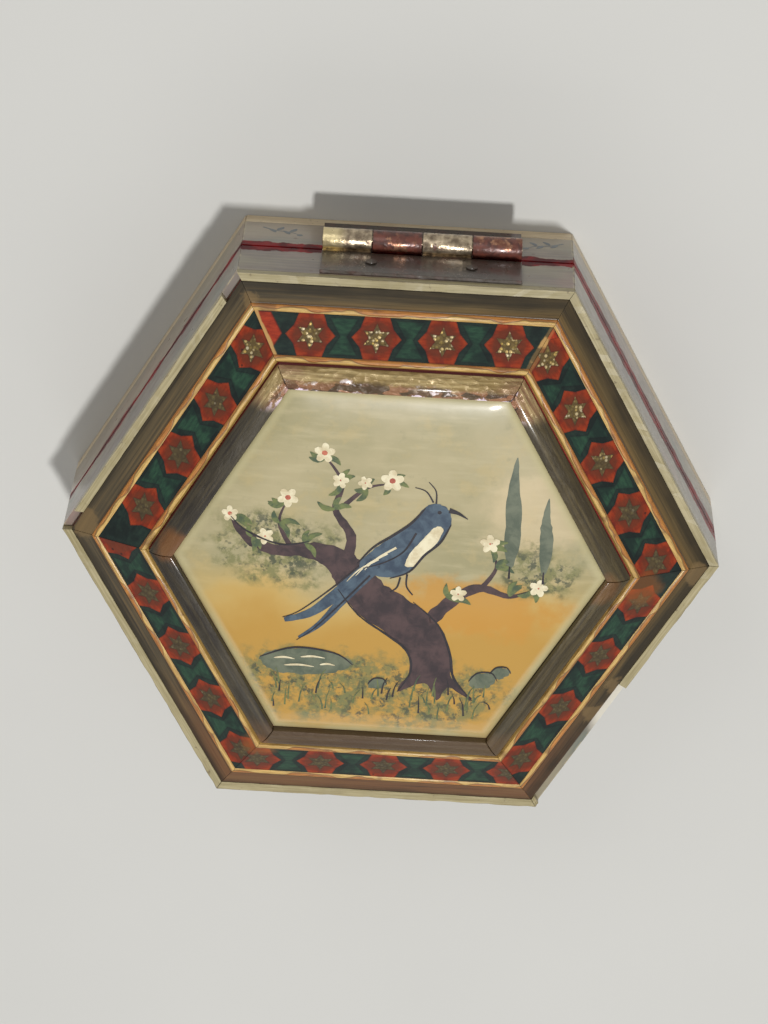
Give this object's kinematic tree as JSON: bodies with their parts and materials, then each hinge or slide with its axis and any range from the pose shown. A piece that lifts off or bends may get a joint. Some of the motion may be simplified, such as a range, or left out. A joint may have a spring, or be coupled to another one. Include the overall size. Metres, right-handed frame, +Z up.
{
  "type": "hinged hexagonal box",
  "caption": "Small hexagonal wooden keepsake box with bone edging, a mosaic frame round a raised painted lid panel, and a small brass hinge at the back.",
  "frame": {"origin": "centre of the hexagonal resting face, on the table", "axes": "+Z up through the lid, +X towards a side corner of the hexagon, +Y towards the hinge at the back"},
  "size_m": [0.07, 0.0631, 0.0228],
  "materials": {
    "red_core": "thin wooden boards painted deep red where they show, at the rims and inside",
    "side_plate": "thin bone-coloured plates under aged glossy lacquer",
    "bone_edging": "ivory-coloured bone strip, polished, chipped in places",
    "outer_trim": "dull tarnished brass-coloured strip under lacquer",
    "tan_line": "thin orange-tan wood line under lacquer",
    "mosaic_red": "red-orange mosaic hexagons under lacquer",
    "mosaic_green": "dark green mosaic ground under lacquer",
    "mosaic_light_green": "lighter green mosaic triangles under lacquer",
    "mosaic_brass": "brass mosaic stars under lacquer",
    "moulding": "dark bronze-coloured rounded moulding under lacquer",
    "plaque": "painted plaque under thick glossy lacquer",
    "hinge_brass": "worn brass",
    "hinge_lacquer": "brass with old red lacquer on it"
  },
  "bodies": {
    "base": {"base_floor": "red_core", "base_edging": "bone_edging", "base_wall_back": "red_core", "base_wall_back_left": "red_core", "base_wall_front_left": "red_core", "base_wall_front": "red_core", "base_wall_front_right": "red_core", "base_wall_back_right": "red_core", "base_plate_back": "side_plate", "base_plate_back_left": "side_plate", "base_plate_front_left": "side_plate", "base_plate_front": "side_plate", "base_plate_front_right": "side_plate", "base_plate_back_right": "side_plate", "hinge_leaf_base": "hinge_lacquer", "hinge_nails_base": "hinge_brass", "hinge_pin": "hinge_brass"},
    "lid": {"hinge_leaf_lid": "hinge_brass", "hinge_nails_lid": "hinge_brass", "inner_line": "tan_line", "inner_moulding": "moulding", "lid_edging": "bone_edging", "lid_frame_back": "red_core", "lid_frame_back_left": "red_core", "lid_frame_back_right": "red_core", "lid_frame_front": "red_core", "lid_frame_front_left": "red_core", "lid_frame_front_right": "red_core", "lid_panel": "red_core", "lid_plate_back": "side_plate", "lid_plate_back_left": "side_plate", "lid_plate_back_right": "side_plate", "lid_plate_front": "side_plate", "lid_plate_front_left": "side_plate", "lid_plate_front_right": "side_plate", "lid_wall_back": "red_core", "lid_wall_back_left": "red_core", "lid_wall_back_right": "red_core", "lid_wall_front": "red_core", "lid_wall_front_left": "red_core", "lid_wall_front_right": "red_core", "mosaic_flowers": "mosaic_red", "mosaic_ground": "mosaic_green", "mosaic_stars": "mosaic_brass", "mosaic_triangles": "mosaic_light_green", "outer_line": "tan_line", "outer_trim": "outer_trim", "painted_plaque": "plaque"}
  },
  "joints": [
    {"name": "lid_hinge", "type": "hinge", "parent": "base", "child": "lid", "pos_m": [0, 0.03156, 0.00912], "axis": [-1, 0, 0], "range_deg": [0, 158]}
  ]
}
